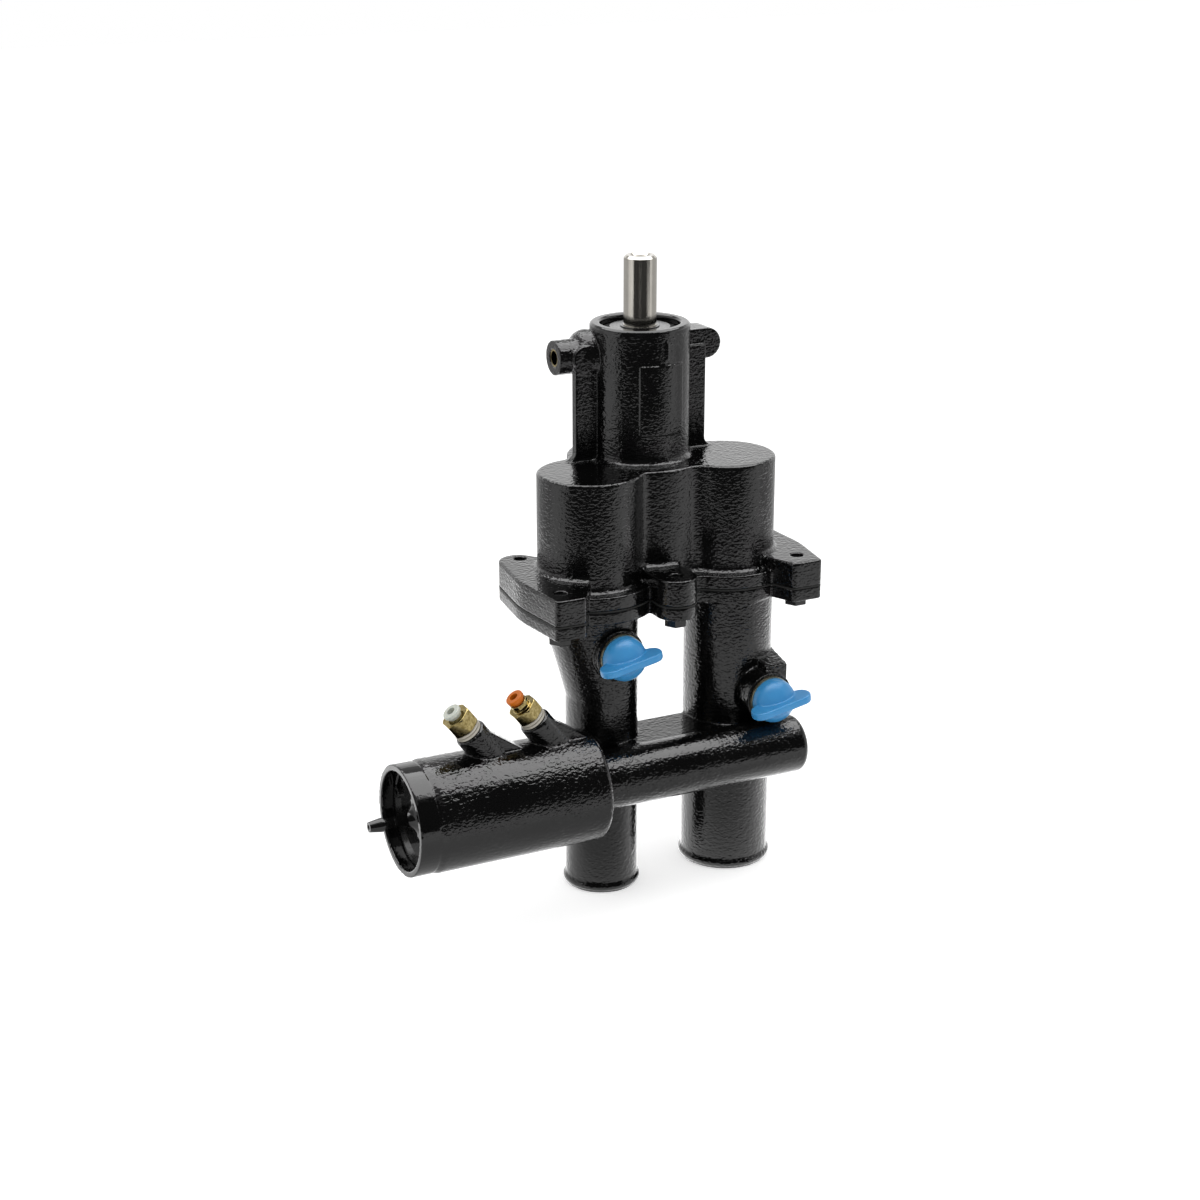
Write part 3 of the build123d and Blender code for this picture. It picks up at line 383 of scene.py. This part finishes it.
def make_fittings(frame, materials):
    """The brass bodies with broken edges, and the ribbed nylon rings under their hexagons."""
    lean = math.radians(PORT_LEAN)
    axis = Vector((-math.sin(lean), 0.0, math.cos(lean)))
    for side in ("outer", "inner"):
        node_name = side + "_fitting_body"
        piece = softened(frame["nodes"][node_name], side + "_fitting_brass", BRASS_VOXEL,
                         BRASS_SMOOTH_STEPS)
        paint(piece, materials["brass"])
        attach(piece, "housing")
        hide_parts(node_name)

        node_name = side + "_fitting_ring"
        points = [vertex.co for vertex in frame["nodes"][node_name].data.vertices]
        centre = sum(points, Vector()) / len(points)
        levels = [(point - centre).dot(axis) for point in points]
        radii = [(point - centre).cross(axis).length for point in points]
        piece = ribbed_ring(side + "_nylon_ring", max(radii), min(radii), min(levels), max(levels))
        upright = axis.to_track_quat("Z", "Y").to_matrix().to_4x4()
        piece.data.transform(Matrix.Translation(centre) @ upright)
        paint(piece, materials["ring_white"])
        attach(piece, "housing")
        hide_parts(node_name)


def ribbed_ring(name, outer, inner, low, high, turns=96, steps=14):
    """A turned ring with broad ribs."""
    profile = [(inner, low)]
    count = RING_RIBS * steps
    for i in range(count + 1):
        swell = min(1.0, 1.8 * abs(math.sin(math.pi * i / steps))) ** 1.5
        profile.append((outer - RING_VALLEY * (1.0 - swell), low + (high - low) * i / count))
    profile.append((inner, high))
    vertices = []
    for i in range(turns):
        angle = 2 * math.pi * i / turns
        vertices += [(r * math.cos(angle), r * math.sin(angle), z) for r, z in profile]
    size = len(profile)
    faces = []
    for i in range(turns):
        here, there = i * size, (i + 1) % turns * size
        for j in range(size):
            k = (j + 1) % size
            faces.append((here + j, there + j, there + k, here + k))
    mesh = bpy.data.meshes.new(name)
    mesh.from_pydata(vertices, [], faces)
    mesh.validate()
    piece = bpy.data.objects.new(name, mesh)
    bpy.context.scene.collection.objects.link(piece)
    return piece


def flat_piece(name, corners, material):
    mesh = bpy.data.meshes.new(name)
    mesh.from_pydata([tuple(corner) for corner in corners], [], [tuple(range(len(corners)))])
    piece = bpy.data.objects.new(name, mesh)
    piece.data.materials.append(material)
    bpy.context.scene.collection.objects.link(piece)
    return piece


def seen_rays(tree, *names):
    """One for a ray of any of these kinds, nought for the others."""
    path = tree.nodes.new("ShaderNodeLightPath")
    seen = path.outputs[names[0]]
    for name in names[1:]:
        join = tree.nodes.new("ShaderNodeMath")
        join.operation = "MAXIMUM"
        tree.links.new(seen, join.inputs[0])
        tree.links.new(path.outputs[name], join.inputs[1])
        seen = join.outputs[0]
    return seen


def floor_material():
    material, tree, shader = node_material("studio_floor")
    seen = seen_rays(tree, "Is Camera Ray", "Is Glossy Ray", "Is Transmission Ray")
    shader.inputs["Emission Color"].default_value = (1.0, 1.0, 1.0, 1.0)
    tree.links.new(remap(tree, seen, 0.0, 1.0, 0.0, FLOOR_GLOW), shader.inputs["Emission Strength"])
    shader.inputs["Base Color"].default_value = (FLOOR_TONE, FLOOR_TONE, FLOOR_TONE, 1.0)
    shader.inputs["Roughness"].default_value = 0.8
    shader.inputs["Specular IOR Level"].default_value = 0.1
    return material


def glow_material(name, radiance):
    """An even surface that keeps its brightness whatever lights it."""
    material, tree, shader = node_material(name)
    shader.inputs["Base Color"].default_value = (0.0, 0.0, 0.0, 1.0)
    shader.inputs["Specular IOR Level"].default_value = 0.0
    shader.inputs["Emission Color"].default_value = (1.0, 1.0, 1.0, 1.0)
    shader.inputs["Emission Strength"].default_value = radiance
    return material


def painted_table_reflection(toward):
    """The table as a painted reflection that only the gloss paint shows: painted shade near the legs, a
    painted highlight just behind the object.
    """
    # painted reflection: its glow is seen by gloss rays only
    material = glow_material("painted_table_reflection", 1.0)
    tree = material.node_tree
    place = tree.nodes.new("ShaderNodeTexCoord").outputs["Object"]
    span = tree.nodes.new("ShaderNodeVectorMath")
    span.operation = "LENGTH"
    tree.links.new(place, span.inputs[0])
    reach = span.outputs["Value"]
    front = remap(tree, reach, *TABLE_FRONT_SPAN, TABLE_NEAR, TABLE_FAR)
    back = remap(tree, reach, *TABLE_BACK_SPAN, TABLE_BEHIND, TABLE_BACK)
    behind = remap(tree, reach_along(tree, -toward, place), *TABLE_TURN_SPAN, 0.0, 1.0)
    shader = tree.nodes["Principled BSDF"]
    tree.links.new(blend(tree, behind, front, back), shader.inputs["Emission Strength"])
    return material


def only_in_reflections(piece):
    piece.visible_camera = False
    piece.visible_diffuse = False
    piece.visible_shadow = False
    piece.visible_transmission = False
    piece.visible_volume_scatter = False


def make_stage(low):
    """A pale floor, and sheets seen only in reflections: painted dark reflections round the gloss black
    object, a painted reflection of a lamp panel overhead, and a painted reflection of the table.
    """
    half = FLOOR_SIZE / 2
    corners = [(-half, -half, low.z), (half, -half, low.z), (half, half, low.z), (-half, half, low.z)]
    flat_piece("studio_floor", corners, floor_material())

    # painted dark reflection: a dark sheet that only the gloss shows
    dark_reflection_glow = glow_material("painted_dark_reflection", DARK_REFLECTION_TONE)
    toward = view_direction()
    sideways = Vector((-toward.y, toward.x, 0.0))
    centre = Vector((CAMERA_TARGET.x, CAMERA_TARGET.y, 0.0))
    top = CAMERA_TARGET.z + DARK_REFLECTION_REACH * math.tan(math.radians(DARK_REFLECTION_TOP))
    points = []
    steps = 12
    for i in range(steps + 1):
        angle = math.radians(DARK_REFLECTION_FROM + (DARK_REFLECTION_TO - DARK_REFLECTION_FROM) * i / steps)
        points.append(centre + DARK_REFLECTION_REACH * (math.cos(angle) * toward + math.sin(angle) * sideways))
    vertices = [(p.x, p.y, low.z) for p in points] + [(p.x, p.y, top) for p in points]
    faces = [(i, i + 1, i + steps + 2, i + steps + 1) for i in range(steps)]
    wall = bpy.data.meshes.new("dark_wall_reflection")
    wall.from_pydata(vertices, [], faces)
    wall_piece = bpy.data.objects.new("dark_wall_reflection", wall)
    wall.materials.append(dark_reflection_glow)
    bpy.context.scene.collection.objects.link(wall_piece)

    def sheet(name, near, far, half_width, height, material):
        corners = [near * toward - half_width * sideways, near * toward + half_width * sideways,
                   far * toward + half_width * sideways, far * toward - half_width * sideways]
        return flat_piece(name, [(p.x, p.y, height) for p in corners], material)

    dark_end_piece = sheet("dark_table_end_reflection", TABLE_EDGE, DARK_REFLECTION_REACH, TABLE_HALF, low.z + DARK_END_LIFT, dark_reflection_glow)
    # painted reflection of the table, just above the floor
    table_piece = sheet("painted_table_reflection", TABLE_EDGE + TABLE_OVERLAP, -half, half, low.z + TABLE_LIFT,
                        painted_table_reflection(toward))
    # painted reflection of a lamp panel overhead; it lights nothing
    panel_piece = sheet("painted_panel_reflection", -PANEL_FROM, -PANEL_TO, PANEL_HALF, CAMERA_TARGET.z + PANEL_HEIGHT,
                        glow_material("painted_panel_glow", PANEL_TONE))
    # all four are painted reflections: neither the camera nor shadows nor diffuse light see them
    for piece in (wall_piece, dark_end_piece, table_piece, panel_piece):
        only_in_reflections(piece)


def softbox(name, place, target, width, height, radiance):
    light = bpy.data.lights.new(name, "AREA")
    light.shape = "RECTANGLE"
    light.size = width
    light.size_y = height
    light.energy = radiance * math.pi * width * height
    piece = bpy.data.objects.new(name, light)
    piece.location = place
    piece.rotation_euler = (target - place).to_track_quat("-Z", "Y").to_euler()
    piece.visible_glossy = False
    bpy.context.scene.collection.objects.link(piece)
    return piece


def make_lights():
    toward = view_direction()
    right = Vector((-toward.y, toward.x, 0.0))
    target = CAMERA_TARGET
    for name, (across, near, up, width, height, radiance) in SOFTBOXES.items():
        place = target + across * right + near * toward + Vector((0, 0, up))
        softbox(name, place, target, width, height, radiance)


def make_world():
    """White to the camera, brighter behind the object in reflections, even for diffuse light."""
    world = bpy.data.worlds.new("studio_world")
    bpy.context.scene.world = world
    world.use_nodes = True
    tree = world.node_tree
    background = tree.nodes["Background"]
    background.inputs["Color"].default_value = (1.0, 1.0, 1.0, 1.0)
    ray = tree.nodes.new("ShaderNodeTexCoord").outputs["Generated"]
    behind = reach_along(tree, -view_direction(), ray)
    backdrop = remap(tree, behind, *SKY_SPAN, SKY_SIDE, SKY_BACK)
    upward = reach_along(tree, Vector((0, 0, 1)), ray)
    edge = math.sin(math.radians(BACKDROP_TOP))
    above = remap(tree, upward, edge - BACKDROP_BLUR, edge + BACKDROP_BLUR, 0.0, 1.0)
    room = blend(tree, above, backdrop, SKY_HIGH)
    reflected = blend(tree, seen_rays(tree, "Is Glossy Ray", "Is Transmission Ray"), AMBIENT, room)
    strength = blend(tree, seen_rays(tree, "Is Camera Ray"), reflected, 1.0)
    tree.links.new(strength, background.inputs["Strength"])


def make_camera():
    camera = bpy.data.cameras.new("camera")
    camera.lens = LENS
    camera.sensor_width = SENSOR
    camera.sensor_fit = "HORIZONTAL"
    piece = bpy.data.objects.new("camera", camera)
    piece.location = CAMERA_PLACE
    piece.rotation_euler = (CAMERA_TARGET - CAMERA_PLACE).to_track_quat("-Z", "Y").to_euler()
    bpy.context.scene.collection.objects.link(piece)
    bpy.context.scene.camera = piece


def as_lists(bounds):
    return [[float(value) for value in corner] for corner in bounds]


def main():
    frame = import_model()
    cad_bounds = as_lists(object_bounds())
    bpy.context.scene.view_settings.view_transform = "Standard"
    materials = make_materials(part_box("pump_body")[1].z)
    make_camera()
    dress_nodes(frame, materials)
    make_castings(frame, materials)
    make_plugs(frame, materials)
    make_fittings(frame, materials)
    make_stage(Vector(cad_bounds[0]))
    make_lights()
    make_world()


main()
